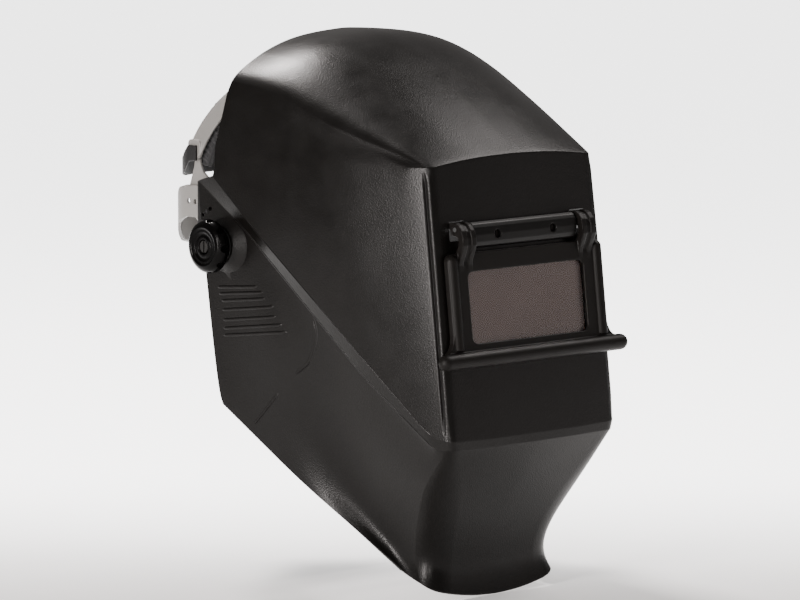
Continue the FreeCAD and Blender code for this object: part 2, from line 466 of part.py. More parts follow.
# ---------------------------------------------------------------- crown straps: two halves lapped over the head
CR_O, CR_S, CR_W = Vector(0, 72.2, 50.0), 64.0, 12.0
CR_DIR = Vector(0, -0.435, 0.9004)
def crown_matrix():
    m = Matrix()
    n = CR_DIR.cross(Vector(1, 0, 0))     # across the strap
    m.A11, m.A21, m.A31 = 1, 0, 0
    m.A12, m.A22, m.A32 = CR_DIR.x, CR_DIR.y, CR_DIR.z
    nn = Vector(1, 0, 0).cross(CR_DIR)
    m.A13, m.A23, m.A33 = nn.x, nn.y, nn.z
    m.A14, m.A24, m.A34 = CR_O.x, CR_O.y, CR_O.z
    return m
CM = crown_matrix()
def oncrown(s):
    t = s.copy(); t.transformShape(CM); return t
def arch(a0, a1, s0, s1, w, x0=-100, x1=100, y0=0):
    """half elliptical arch between two ellipses, w wide"""
    def e(a, b):
        f = Part.Ellipse(Vector(0, 0, -w/2), a, b).toShape()
        return Part.Face(Part.Wire([f])).extrude(Vector(0, 0, w))
    r = e(a1, s1).cut(e(a0, s0))
    return r.common(box(x0, x1, y0, 100, -w, w))
strap_r = arch(80.2, 82.0, CR_S, CR_S + 1.8, CR_W, -100, 15)
strap_l = arch(80.2, 82.0, CR_S + 1.9, CR_S + 3.7, CR_W, -15, 100)
# sockets that snap on the band's stems
for s in (-1, 1):
    x0, x1 = sorted((s*80.2, s*82.4))
    sock = rbox(x0, x1, 66.2, 78.2, 46.5, 58.5, 2.5, "x")
    if s < 0: strap_r = None or oncrown(strap_r).fuse(sock)
    else: strap_l = oncrown(strap_l).fuse(sock)
hole_r = oncrown(Part.makeCylinder(2.6, 30, Vector(0, CR_S - 10, 0), Vector(0, 1, 0)))
slots = []
strap_r = strap_r.cut(hole_r)
strap_l = strap_l.cut(hole_r)
for k in (-2, -1, 1, 2):
    h = oncrown(Part.makeCylinder(1.9, 30, Vector(k * 5.6, CR_S - 10, 0), Vector(0, 1, 0)))
    strap_r = strap_r.cut(h)
save(strap_r.removeSplitter(), "crown_strap_right")
save(strap_l.removeSplitter(), "crown_strap_left")
btn = Part.makeCylinder(2.55, 5.2, Vector(0, CR_S - 0.6, 0), Vector(0, 1, 0)).fuse(Part.makeCylinder(5.5, 1.6, Vector(0, CR_S + 3.9, 0), Vector(0, 1, 0))).fuse(Part.makeCylinder(4.4, 1.4, Vector(0, CR_S - 1.6, 0), Vector(0, 1, 0)))
save(oncrown(btn), "crown_button")
cpad = arch(72.6, 77.4, CR_S - 6.2, CR_S - 1.8, 22.0, -100, 100, -6)
save(oncrown(cpad), "crown_pad")

# rear strap: steadies the back of the head, pegged on the stems
rs = oval(84.3, 60, 30, 35.5, 76.0, 0, 80).cut(oval(82.5, 58, 30, 33.7, 76.0, -1, 81))
rs = rs.common(poly_x([(68.5, 45), (68.5, 55), (76, 55), (84, 47), (96, 42.5), (116, 41.5), (116, 31.5), (94, 32.5), (83, 36.5), (76, 44)], -100, 100))
save(rs, "rear_strap")

# ---------------------------------------------------------------- rear band, ratchet
rb = oval(82.35, 60, 30, REAR_B, REAR_CY, -60, 60).cut(oval(80.35, 58, 30, REAR_B - 2, REAR_CY, -61, 61))
rb = rb.common(poly_x([(46, 9), (46, 27), (47.5, 28.5), (80, 28.5), (90, 26), (104, 16), (124, 4), (124, -20), (106, -12), (92, 2), (80, 7.5), (47.5, 7.5)], -100, 100))
zc = RATCHET_Z
win = box(-26, 26, 100, 140, zc - 5.6, zc + 5.6)
tail_r = rb.common(box(-100, 26, 0, 200, -100, 100)).cut(win)
tail_l = rb.common(box(-26, 100, 0, 200, -100, 100)).cut(win)
low, high = box(-26.2, 26.2, 100, 140, -60, zc - 5.0), box(-26.2, 26.2, 100, 140, zc + 5.0, 60)
tail_r = tail_r.cut(high).cut(box(25.9, 30, 100, 140, -60, 60))
tail_l = tail_l.cut(low).cut(box(-30, -25.9, 100, 140, -60, 60))
for k in range(-5, 6):
    x = k * 4.0
    tail_r = tail_r.cut(box(x - 1.0, x + 1.0, 100, 140, zc - 7.0, zc - 5.0))
    tail_l = tail_l.cut(box(x + 1.0, x + 3.0, 100, 140, zc + 5.0, zc + 7.0))
# length-setting holes along each side
for k in range(5):
    tail_r = tail_r.cut(cylx(-90, -70, 1.7, 52 + 6.5*k, 18))
    tail_l = tail_l.cut(cylx(70, 90, 1.7, 52 + 6.5*k, 18))
save(tail_r, "rear_band_right")
save(tail_l, "rear_band_left")
hs = rbox(-34, 34, 112.6, 130.0, -21.5, 6.5, 5.0, "y")
hs = fillet_try(hs, 1.8, lambda e: e.BoundBox.YMax > 129.9 and e.BoundBox.YMin > 129.9)
ring_clear = oval(82.5, 60, 30, REAR_B + 0.15, REAR_CY, -60, 60).cut(oval(80.2, 58, 30, REAR_B - 2.15, REAR_CY, -61, 61))
hs = hs.cut(ring_clear)
parts_h = sorted(hs.Solids, key=lambda q: q.CenterOfMass.y)
cover, house = parts_h[0], parts_h[-1]
print("housing pieces", len(parts_h), [round(q.Volume) for q in parts_h])
SH_R = 3.0
house = house.cut(cyly(100, 124.6, 5.9, 0, zc)).cut(cyly(100, 140, SH_R + 0.08, 0, zc))
cover = cover.cut(cyly(118.6, 124.6, 5.9, 0, zc)).cut(cyly(116.4, 140, SH_R + 0.08, 0, zc))
save(house, "ratchet_housing")
save(cover, "ratchet_cover")
pin = cyly(119.0, 124.2, 4.6, 0, zc)
for k in range(10):
    a = math.radians(36 * k)
    pin = pin.cut(cyly(110, 130, 0.75, 4.6 * math.cos(a), zc + 4.6 * math.sin(a)))
pin = pin.fuse(cyly(116.8, 119.0, SH_R - 0.0, 0, zc)).fuse(cyly(124.2, 131.8, SH_R, 0, zc))
save(pin, "ratchet_pinion")
p = [(0, 131.0), (19.0, 131.0), (20.0, 132.0), (20.0, 141.5), (18.6, 144.2), (15.5, 145.6), (10.0, 146.2), (0, 146.4)]
w = Part.makePolygon([Vector(a, b, zc) for a, b in p] + [Vector(0, 131.0, zc)])
rk = Part.Face(w).revolve(Vector(0, 0, zc), Vector(0, 1, 0), 360)
if rk.Volume < 0: rk.reverse()
for k in range(12):
    a = math.radians(30 * k)
    rk = rk.cut(cyly(130, 150, 2.6, 21.2 * math.cos(a), zc + 21.2 * math.sin(a)))
rk = rk.cut(cyly(130, 131.8, SH_R, 0, zc)).cut(cyly(131.8, 140.5, 1.2, 0, zc)).cut(cyly(140.5, 150, 3.2, 0, zc))
save(rk, "ratchet_knob")
scr = cyly(131.8, 140.5, 1.2, 0, zc).fuse(cyly(140.5, 142.6, 2.9, 0, zc)).cut(box(-3, 3, 142.0, 143, zc - 0.35, zc + 0.35)).cut(box(-0.35, 0.35, 142.0, 143, zc - 3, zc + 3))
save(scr, "ratchet_screw")
np_ = rbox(-33, 33, 106.0, 112.5, -20.5, 5.5, 7.0, "y")
np_ = fillet_try(np_, 2.4, lambda e: e.BoundBox.YMax < 106.1)
save(np_, "nape_pad")
# guide loops that carry the rear band along the headband's sides
for s, nm in ((-1, "right"), (1, "left")):
    x0, x1 = sorted((s*80.05, s*84.9))
    g = rbox(x0, x1, 58.0, 66.0, 3.6, 32.4, 1.2, "y")
    h0, h1 = sorted((s*79, s*82.75))
    g = g.cut(box(h0, h1, 50, 70, 7.1, 28.9))
    save(g, "band_guide_" + nm)
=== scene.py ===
import bpy, bmesh, math, json
import numpy as np
from mathutils import Vector, Matrix


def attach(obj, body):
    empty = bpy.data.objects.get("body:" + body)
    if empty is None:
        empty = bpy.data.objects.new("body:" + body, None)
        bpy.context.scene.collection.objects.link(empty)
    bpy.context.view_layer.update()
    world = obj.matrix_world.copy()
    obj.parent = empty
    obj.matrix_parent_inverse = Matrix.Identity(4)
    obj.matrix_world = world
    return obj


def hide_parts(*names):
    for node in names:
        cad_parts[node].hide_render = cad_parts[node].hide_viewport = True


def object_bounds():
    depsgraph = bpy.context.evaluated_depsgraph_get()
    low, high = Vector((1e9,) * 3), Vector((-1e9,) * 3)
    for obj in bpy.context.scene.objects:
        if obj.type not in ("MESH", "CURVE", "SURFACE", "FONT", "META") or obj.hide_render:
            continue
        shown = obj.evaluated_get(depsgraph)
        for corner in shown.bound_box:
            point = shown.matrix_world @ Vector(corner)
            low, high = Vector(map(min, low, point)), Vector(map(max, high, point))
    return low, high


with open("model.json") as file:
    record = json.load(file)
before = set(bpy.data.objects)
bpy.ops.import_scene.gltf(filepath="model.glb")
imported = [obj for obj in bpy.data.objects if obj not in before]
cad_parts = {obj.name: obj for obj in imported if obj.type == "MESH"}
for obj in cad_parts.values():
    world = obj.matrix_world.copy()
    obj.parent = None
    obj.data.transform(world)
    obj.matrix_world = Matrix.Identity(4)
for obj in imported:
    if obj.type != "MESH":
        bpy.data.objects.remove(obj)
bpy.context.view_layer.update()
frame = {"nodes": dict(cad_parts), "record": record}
NODES = frame["nodes"]
rng = np.random.default_rng(7)

# ------------------------------------------------------------------ dimensions, mm
WALL, STEP = 2.3, 2.6
LEAN = math.radians(6.95)
SA, CA = math.sin(LEAN), math.cos(LEAN)
FACE_O = np.array([0.0, -154.5, -32.0])
FU, FV, FN = np.array([1.0, 0, 0]), np.array([0, SA, CA]), np.array([0, -CA, SA])
PY, PZ = 12.5, -3.2
STOP_R, STOP_ANG = 25.0, (46.0, 54.5, 63.0)
BOSS_OUT, BOSS_IN = 112.2, 103.4
MM = 0.001


def face(u, v, n=0.0):
    return FACE_O + FU * u + FV * v + FN * n


FACE_M = Matrix(((FU[0], FV[0], FN[0], FACE_O[0] * MM), (FU[1], FV[1], FN[1], FACE_O[1] * MM), (FU[2], FV[2], FN[2], FACE_O[2] * MM), (0, 0, 0, 1)))

# ------------------------------------------------------------------ helpers
col = bpy.context.scene.collection


def new_obj(name, verts, faces, mm=True):
    me = bpy.data.meshes.new(name)
    v = np.asarray(verts, float) * (MM if mm else 1.0)
    me.from_pydata([tuple(p) for p in v], [], faces)
    me.validate()
    me.update()
    o = bpy.data.objects.new(name, me)
    col.objects.link(o)
    return o


def apply_mods(o):
    dg = bpy.context.evaluated_depsgraph_get()
    dg.update()
    me = bpy.data.meshes.new_from_object(o.evaluated_get(dg), preserve_all_data_layers=True, depsgraph=dg)
    o.modifiers.clear()
    old = o.data
    o.data = me
    if old.users == 0:
        bpy.data.meshes.remove(old)
    return o


def smooth(o, deg=None):
    me = o.data
    me.polygons.foreach_set("use_smooth", np.ones(len(me.polygons), bool))
    if deg is not None:
        me.set_sharp_from_angle(angle=math.radians(deg))
    me.update()
    return o


def weld(o, d=1e-6):
    bm = bmesh.new()
    bm.from_mesh(o.data)
    bmesh.ops.remove_doubles(bm, verts=bm.verts, dist=d)
    bmesh.ops.recalc_face_normals(bm, faces=bm.faces)
    bm.to_mesh(o.data)
    bm.free()
    o.data.update()
    return o


def finish_piece(o, body, material, slot_name, *replaces):
    o.data.materials.clear()
    o.data.materials.append(material)
    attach(o, body)
    if replaces:
        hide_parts(*replaces)
    return o


def soften(node, name, voxel, iters=3, lam=0.5, target=60000, space=None, extra=()):
    """a moulded copy of a CAD node: the same solid, its edges eased by a small radius"""
    src = NODES[node]
    me = src.data.copy()
    o = bpy.data.objects.new(name, me)
    col.objects.link(o)
    if space is not None:
        me.transform(space.inverted())
    if extra:
        bm = bmesh.new()
        bm.from_mesh(me)
        for v, f in extra:
            vs = [bm.verts.new(tuple(c*MM for c in p)) for p in v]
            for q in f:
                bm.faces.new([vs[i] for i in q])
        bm.to_mesh(me)
        bm.free()
    weld(o, 1e-6)
    m = o.modifiers.new("r", "REMESH")
    m.mode = "VOXEL"
    m.voxel_size = voxel * MM
    m.adaptivity = 0.0
    if iters:
        s = o.modifiers.new("s", "SMOOTH")
        s.factor = lam
        s.iterations = iters
    apply_mods(o)
    n = len(o.data.polygons) * 2
    if n > target:
        d = o.modifiers.new("d", "DECIMATE")
        d.ratio = target / n
        apply_mods(o)
    if space is not None:
        o.data.transform(space)
    o.data.materials.clear()
    smooth(o, 50)
    return o


# ------------------------------------------------------------------ materials
def mat(name, rgb, rough=0.5, metal=0.0, grain=None, grain_d=0.00004, vary=0.12, rough_vary=0.08, coat=0.0, sheen=0.0, spec=0.5, trans=0.0, ior=None,
        kind="noise", wear=None, bump2=None, coat_rough=0.1, scale_xyz=(1, 1, 1)):
    m = bpy.data.materials.new(name)
    m.use_nodes = True
    nt = m.node_tree
    b = nt.nodes["Principled BSDF"]
    b.inputs["Roughness"].default_value = rough
    b.inputs["Metallic"].default_value = metal
    b.inputs["Specular IOR Level"].default_value = spec
    b.inputs["Coat Weight"].default_value = coat
    b.inputs["Coat Roughness"].default_value = coat_rough
    b.inputs["Sheen Weight"].default_value = sheen
    b.inputs["Transmission Weight"].default_value = trans
    if ior:
        b.inputs["IOR"].default_value = ior
    b.inputs["Base Color"].default_value = (*rgb, 1)
    tc = nt.nodes.new("ShaderNodeTexCoord")
    mp = nt.nodes.new("ShaderNodeMapping")
    mp.inputs["Scale"].default_value = scale_xyz
    nt.links.new(tc.outputs["Object"], mp.inputs["Vector"])
    vec = mp.outputs["Vector"]
    if vary:
        n1 = nt.nodes.new("ShaderNodeTexNoise")
        n1.inputs["Scale"].default_value = 26.0
        n1.inputs["Detail"].default_value = 5.0
        nt.links.new(vec, n1.inputs["Vector"])
        cr = nt.nodes.new("ShaderNodeValToRGB")
        cr.color_ramp.elements[0].position = 0.3
        cr.color_ramp.elements[1].position = 0.7
        cr.color_ramp.elements[0].color = (*[c * (1 - vary) for c in rgb], 1)
        cr.color_ramp.elements[1].color = (*[min(1, c * (1 + vary)) for c in rgb], 1)
        nt.links.new(n1.outputs["Fac"], cr.inputs["Fac"])
        nt.links.new(cr.outputs["Color"], b.inputs["Base Color"])
    if rough_vary:
        n2 = nt.nodes.new("ShaderNodeTexNoise")
        n2.inputs["Scale"].default_value = 60.0
        n2.inputs["Detail"].default_value = 4.0
        nt.links.new(vec, n2.inputs["Vector"])
        mr = nt.nodes.new("ShaderNodeMapRange")
        mr.inputs["From Min"].default_value = 0.3
        mr.inputs["From Max"].default_value = 0.7
        mr.inputs["To Min"].default_value = max(0.02, rough - rough_vary)
        mr.inputs["To Max"].default_value = min(1.0, rough + rough_vary)
        nt.links.new(n2.outputs["Fac"], mr.inputs["Value"])
        nt.links.new(mr.outputs["Result"], b.inputs["Roughness"])
    if grain:
        if kind == "leather":
            t = nt.nodes.new("ShaderNodeTexVoronoi")
            t.feature = "SMOOTH_F1"
            t.inputs["Scale"].default_value = grain
            t.inputs["Smoothness"].default_value = 0.6
            out = t.outputs["Distance"]
        elif kind == "weave":
            t = nt.nodes.new("ShaderNodeTexVoronoi")
            t.inputs["Scale"].default_value = grain
            t.inputs["Randomness"].default_value = 0.35
            out = t.outputs["Distance"]
        elif kind == "brushed":
            t = nt.nodes.new("ShaderNodeTexNoise")
            t.inputs["Scale"].default_value = grain
            t.inputs["Detail"].default_value = 2.0
            out = t.outputs["Fac"]
        else:
            t = nt.nodes.new("ShaderNodeTexNoise")
            t.inputs["Scale"].default_value = grain
            t.inputs["Detail"].default_value = 3.0
            out = t.outputs["Fac"]
        nt.links.new(vec, t.inputs["Vector"])
        bp = nt.nodes.new("ShaderNodeBump")
        bp.inputs["Strength"].default_value = 1.0
        bp.inputs["Distance"].default_value = grain_d
        nt.links.new(out, bp.inputs["Height"])
        if bump2:
            n3 = nt.nodes.new("ShaderNodeTexNoise")
            n3.inputs["Scale"].default_value = bump2[0]
            n3.inputs["Detail"].default_value = 3.0
            nt.links.new(vec, n3.inputs["Vector"])
            b2 = nt.nodes.new("ShaderNodeBump")
            b2.inputs["Strength"].default_value = 1.0
            b2.inputs["Distance"].default_value = bump2[1]
            nt.links.new(n3.outputs["Fac"], b2.inputs["Height"])
            nt.links.new(b2.outputs["Normal"], bp.inputs["Normal"])
        nt.links.new(bp.outputs["Normal"], b.inputs["Normal"])
    return m


M = {}
M["shell"] = mat("shell_plastic", (0.0028, 0.0024, 0.0021), rough=0.32, grain=1150, grain_d=0.00008, kind="leather", vary=0.10, rough_vary=0.04, spec=0.20, bump2=(900, 0.00003))
M["frame"] = mat("frame_plastic", (0.0054, 0.0047, 0.0042), rough=0.42, grain=2600, grain_d=0.00003, vary=0.08, rough_vary=0.05, spec=0.12)
M["bar"] = mat("bar_plastic", (0.0036, 0.0034, 0.0032), rough=0.34, grain=2600, grain_d=0.00002, vary=0.08, rough_vary=0.05, spec=0.15)
M["black"] = mat("black_plastic", (0.0060, 0.0057, 0.0060), rough=0.42, grain=2200, grain_d=0.00003, vary=0.15, rough_vary=0.06, spec=0.25)
M["knob"] = mat("knob_plastic", (0.0010, 0.0009, 0.0009), rough=0.20, grain=1500, grain_d=0.00001, vary=0.12, rough_vary=0.05, coat=0.02, spec=0.06, coat_rough=0.08)
M["grey"] = mat("grey_plastic", (0.20, 0.194, 0.185), rough=0.42, grain=1800, grain_d=0.00003, vary=0.05, rough_vary=0.06, spec=0.4)
M["screw"] = mat("black_screw", (0.008, 0.0065, 0.006), rough=0.35, metal=0.2, grain=2500, grain_d=0.00002, spec=0.3)
M["zinc"] = mat("zinc", (0.50, 0.51, 0.52), rough=0.30, metal=1.0, grain=1500, grain_d=0.00001, kind="brushed")
M["stud"] = mat("stud_steel", (0.030, 0.029, 0.028), rough=0.32, metal=0.8, grain=1500, grain_d=0.00001, kind="brushed")
M["wire"] = mat("spring_steel", (0.40, 0.40, 0.42), rough=0.28, metal=1.0, grain=1500, grain_d=0.00001, kind="brushed", scale_xyz=(1, 6, 6))
M["brass"] = mat("brass_insert", (0.66, 0.47, 0.20), rough=0.28, metal=1.0, grain=1500, grain_d=0.00001, kind="brushed")
M["rubber"] = mat("gasket", (0.012, 0.012, 0.012), rough=0.75, grain=1200, grain_d=0.00004, spec=0.3)
M["clear"] = mat("clear_plate", (0.95, 0.90, 0.88), rough=0.03, trans=1.0, ior=1.30, vary=0.01, rough_vary=0.01, grain=30, grain_d=0.00001)
M["filter"] = mat("filter_glass", (0.050, 0.035, 0.031), rough=0.07, vary=0.03, rough_vary=0.01, spec=0.35, grain=20, grain_d=0.00001)
M["terry"] = mat("sweatband", (0.045, 0.043, 0.047), rough=0.92, grain=1500, grain_d=0.00045, kind="weave", sheen=0.25, bump2=(500, 0.0003), spec=0.2)
M["foam"] = mat("pad_foam", (0.022, 0.022, 0.023), rough=0.85, grain=1900, grain_d=0.0003, kind="weave", sheen=0.15, spec=0.2)
SLOT_MAT = {"shell_plastic": "shell", "frame_plastic": "frame", "black_screw": "screw", "zinc": "zinc", "clear_plate": "clear", "filter_glass": "filter", "gasket": "rubber",
            "spring_steel": "wire", "grey_plastic": "grey", "sweatband": "terry", "black_plastic": "black", "stud_steel": "stud", "knob_plastic": "knob", "brass_insert": "brass", "pad_foam": "foam"}
NODE_SLOT = {s["node"]: s["material_slot"] for s in frame["record"]["subparts"]}
for n, o in NODES.items():
    k = SLOT_MAT[NODE_SLOT[n]]
    if o.data.materials:
        for i in range(len(o.data.materials)):
            o.data.materials[i] = M[k]
    else:
        o.data.materials.append(M[k])

# ------------------------------------------------------------------ shell surface, the same rows as the CAD shell
SIDE = [(-146.5, 69.4), (-141, 73.0), (-133, 77.6), (-122, 82.6), (-110, 86.8), (-95, 91.0), (-75, 95.8), (-55, 100.0), (-30, 104.6), (0, 109.0), (25, 112.0), (50, 114.0)]


def interp(tab, x):
    n = len(tab)
    if x <= tab[0][0]: return tab[0][1] + (tab[1][1]-tab[0][1])/(tab[1][0]-tab[0][0])*(x-tab[0][0])
    if x >= tab[-1][0]: return tab[-1][1] + (tab[-1][1]-tab[-2][1])/(tab[-1][0]-tab[-2][0])*(x-tab[-1][0])
    d = [(tab[i+1][1]-tab[i][1])/(tab[i+1][0]-tab[i][0]) for i in range(n-1)]
    m = [d[0]]
    for i in range(1, n-1):
        m.append(0.0 if d[i-1]*d[i] <= 0 else 2.0/(1.0/d[i-1]+1.0/d[i]))
    m.append(d[-1])
    for i in range(n-1):
        if x <= tab[i+1][0]:
            h = tab[i+1][0]-tab[i][0]; t = (x-tab[i][0])/h
            return ((2*t**3-3*t*t+1)*tab[i][1] + (t**3-2*t*t+t)*h*m[i] + (-2*t**3+3*t*t)*tab[i+1][1] + (t**3-t*t)*h*m[i+1])


def W(y, z):
    w = interp(SIDE, y)
    t = max(0.0, z - 20.0) / 100.0
    k = min(1.0, max(0.0, (y + 146.0) / 60.0))
    w -= (6.0 * t + 5.0 * t * t) * k
    b = max(0.0, -z - 20.0) / 100.0
    return w - 2.5 * b * k


def side(y, z, d=0.0): return (W(y, z) - d, y, z)


KEYS = [
 (0.0, [(0,-129.5,-223.5), (22,-129.3,-222.8), (54.5,-129.0,-216.0), (56.5,-108,-209.0), (60,-97,-200.5), (88,-40,-153.0), (107.0,14.5,-107.0)], [0,14,15,8,8,20,0]),
 (1.0, [(0,-129.0,-186), (19,-128.9,-186), (55.0,-129.5,-184.5), (58,-100,-177), (68,-77,-157), (94.5,-35,-110), (108.6,20.5,-78)], [0,12,17,14,14,20,0]),
 (1.5, [(0,-146.5,-154), (24,-146.2,-154), (66.0,-147.0,-152.5), (69.5,-122,-142), (81,-88,-112), (100.5,-32,-60), (110.0,27,-26)], [0,14,17,14,14,20,0]),
 (1.9, [(0,-161.5,-127), (38,-161.3,-126.6), (69.3,-160.8,-125.5), (72.5,-151,-124), (85.5,-99,-84.5), (105.4,-7,3.2), (110.5,33.0,24)], [0,14,6,6,14,16,0]),
 (2.0, [(0,-164.5,-121.5), (38,-164.3,-121.3), (70.2,-163.7,-120.8), (73.6,-152,-121.5), side(-100,-80.6,STEP), side(-6,8.0,STEP), side(34.0,36.5,STEP*.5)], [0,14,5,5,14,12,0]),
 (2.2, [(0,-164.7,-116), (38,-164.7,-116), (71.2,-164.2,-115.2), (75.6,-150,-113.5), side(-100,-67.0), side(-17,8.2), side(20.5,40.5)], [0,12,4.6,12,14,12,0]),
 (3.0, [(0,-153.75,-26), (38,-153.75,-26), (70.3,-153.2,-25.7), (77.8,-135,-19), side(-92,-1.6), side(-37,22.0), side(19.6,44.5)], [0,12,4.6,21,14,20,0]),
 (4.0, [(0,-143.2,60.5), (36,-143.0,59.6), (69.4,-142.4,55.6), (77.5,-125,55.2), side(-85,55.0), side(-35,53.0), side(19.5,47)], [0,16,4.2,18,14,20,0]),
 (4.15, [(0,-139.3,63.5), (36,-139.1,62.5), (69.6,-138.5,58.0), (77.0,-122,56.9), side(-83,56.4), side(-34,54), side(19.5,48.5)], [0,16,4.5,18,14,20,0]),
 (5.0, [(0,-77,104.5), (45,-76,102.0), (86.0,-72,85.0), side(-60,76), side(-42,70), side(-10,61), side(19.8,52.5)], [0,24,13,8,10,12,0]),
 (5.6, [(0,-24,129.8), (50,-23.5,126.8), (94.5,-20,104.0), side(-14,93), side(-6,82), side(7,69), side(19.8,56.5)], [0,28,20,8,10,12,0]),
 (6.0, [(0,17,131.0), (50,16.5,128.0), (97.0,12,108.0), side(13.5,95), side(15,84), side(18,70), side(20.0,59)], [0,30,24,8,8,8,0]),
]
FOLDS = (2.0, 2.2, 4.0)


def interp_cr(tab, x):
    n = len(tab)
    if n == 2:
        t = (x-tab[0][0])/(tab[1][0]-tab[0][0]); return tab[0][1] + (tab[1][1]-tab[0][1])*t
    d = [(tab[i+1][1]-tab[i][1])/(tab[i+1][0]-tab[i][0]) for i in range(n-1)]
    h = [tab[i+1][0]-tab[i][0] for i in range(n-1)]
    m = [0]*n
    for i in range(1, n-1): m[i] = (d[i-1]*h[i]+d[i]*h[i-1])/(h[i]+h[i-1])
    m[0] = 1.4*d[0]-0.4*m[1]
    m[-1] = 1.4*d[-1]-0.4*m[-2]
    for i in range(n-1):
        if x <= tab[i+1][0] + 1e-9:
            hh = h[i]; t = (x-tab[i][0])/hh
            return ((2*t**3-3*t*t+1)*tab[i][1] + (t**3-2*t*t+t)*hh*m[i] + (-2*t**3+3*t*t)*tab[i+1][1] + (t**3-t*t)*hh*m[i+1])


def hsp(ks, vs, v, fold):
    segs = []
    for i, k in enumerate(ks):
        if not segs: segs.append([i])
        else: segs[-1].append(i)
        if k in fold and i < len(ks)-1: segs.append([i])
    for s in segs:
        if v <= ks[s[-1]] + 1e-9:
            return interp_cr([(ks[i], vs[i]) for i in s], v)


def row(v, nl, na):
    ks = [k[0] for k in KEYS]
    P = np.array([[hsp(ks, [k[1][j][c] for k in KEYS], v, FOLDS) for c in range(3)] for j in range(7)], float)
    R = [hsp(ks, [k[2][j] for k in KEYS], v, FOLDS) for j in range(7)]
    seg = [np.linalg.norm(P[j+1]-P[j]) for j in range(6)]
    A, B = [None]*7, [None]*7
    for j in range(1, 6):
        r0 = min(R[j], 0.48*seg[j-1] if j > 1 else 0.9*seg[0]); r1 = min(R[j], 0.48*seg[j] if j < 5 else 0.9*seg[5])
        A[j] = P[j] + (P[j-1]-P[j])*r0/seg[j-1]; B[j] = P[j] + (P[j+1]-P[j])*r1/seg[j]
    B[0] = P[0]; A[6] = P[6]
    out = []
    for j in range(6):
        for i in range(nl[j]):
            out.append(B[j] + (A[j+1]-B[j])*(i/float(nl[j])))
        if j < 5:
            for i in range(na):
                t = i/float(na)
                out.append((1-t)**2*A[j+1]+2*t*(1-t)*P[j+1]+t*t*B[j+1])
    out.append(P[6])
    return np.array(out)


LEVELS = [0, .15, .4, .7, 1.0, 1.25, 1.5, 1.7, 1.84, 1.92, 1.965, 1.985, 1.997, 2.006, 2.02, 2.05, 2.1, 2.15, 2.18, 2.194, 2.201, 2.21, 2.23, 2.28, 2.38, 2.55, 2.8, 3.1, 3.4, 3.65,
          3.84, 3.94, 3.975, 3.992, 4.006, 4.03, 4.08, 4.16, 4.36, 4.6, 4.85, 5.1, 5.35, 5.6, 5.8, 5.93, 6.0]
NL, NA = [2, 3, 2, 3, 4, 3], 4


def basis(n, ts):
    """clamped uniform cubic B-spline basis, n poles, at parameters ts in 0..n-3"""
    kn = np.concatenate([[0]*3, np.arange(0, n-2), [n-3]*3]).astype(float)
    ts = np.clip(np.asarray(ts, float), 0, n-3-1e-9)
    B = np.zeros((len(ts), len(kn)-1))
    for i in range(len(kn)-1):
        B[:, i] = (ts >= kn[i]) & (ts < kn[i+1])
    for p in range(1, 4):
        C = np.zeros((len(ts), len(kn)-1-p))
        for i in range(len(kn)-1-p):
            a = kn[i+p]-kn[i]; b = kn[i+p+1]-kn[i+1]
            if a > 0: C[:, i] += (ts-kn[i])/a*B[:, i]
            if b > 0: C[:, i] += (kn[i+p+1]-ts)/b*B[:, i+1]
        B = C
    return B


G = []
for v in LEVELS:
    r = row(v, NL, NA)
    G.append(np.concatenate([(r*np.array([-1, 1, 1]))[:0:-1], r]))
G = np.array(G)                                   # rows x columns x 3, poles
MR, NC = G.shape[0], G.shape[1]
MIDC = NC // 2


def surf(tu, tv, g=G):
    return np.einsum("ai,ijk,bj->abk", basis(g.shape[0], tu), g, basis(g.shape[1], tv))


def normals(P):
    a = np.gradient(P, axis=0)
    b = np.gradient(P, axis=1)
    n = np.cross(a, b)
    n /= np.linalg.norm(n, axis=2, keepdims=True) + 1e-12
    return n


def even(a):
    return a if len(a) % 2 == 1 else np.sort(np.append(a, (a[0]+a[1])/2))


# sample parameters
tu = [0.0]
for i in range(MR-3):
    k = 4
    tu += [i + (j+1)/k for j in range(k)]
tu = np.array(tu)
dens = {}
half = []
idx_edges = [(0, 2, 6), (2, 6, 3), (6, 9, 3), (9, 11, 3), (11, 13, 6), (13, 15, 8), (15, 19, 2), (19, 22, 4), (22, 26, 3), (26, 30, 6), (30, 34, 3), (34, 37, 5)]
for a, b, k in idx_edges:
    for i in range(a, b):
        half += [i + j/k for j in range(k)]
half.append(37.0)
half = np.array(half)
tmax = NC - 3
tv = np.concatenate([(MIDC - half[::-1][:-1]), MIDC + half]) - 1.0
tv = np.clip(tv, 0, tmax)
tv = np.unique(np.round(tv, 6))
# first and last poles crowd at the ends of the clamped spline
P = surf(tu, tv)
N = normals(P)
cen = P[P.shape[0]//2, P.shape[1]//2]
if N[P.shape[0]//2, P.shape[1]//2][1] > 0:
    N = -N

# the brow fold dies away over the sides
ci = np.abs((tv + 1.0) - MIDC)
lev = np.interp(tu + 1.0, np.arange(MR), LEVELS)
wc = np.clip((ci - 15.5)/2.0, 0, 1)*np.clip((35.0 - ci)/4.0, 0, 1)
wr = np.clip((lev - 3.3)/0.3, 0, 1)*np.clip((5.2 - lev)/0.4, 0, 1)
ww = (0.5*wr[:, None]*wc[None, :])[1:-1, :, None]
for _ in range(260):
    P[1:-1] += ww*((P[:-2] + P[2:])/2 - P[1:-1])

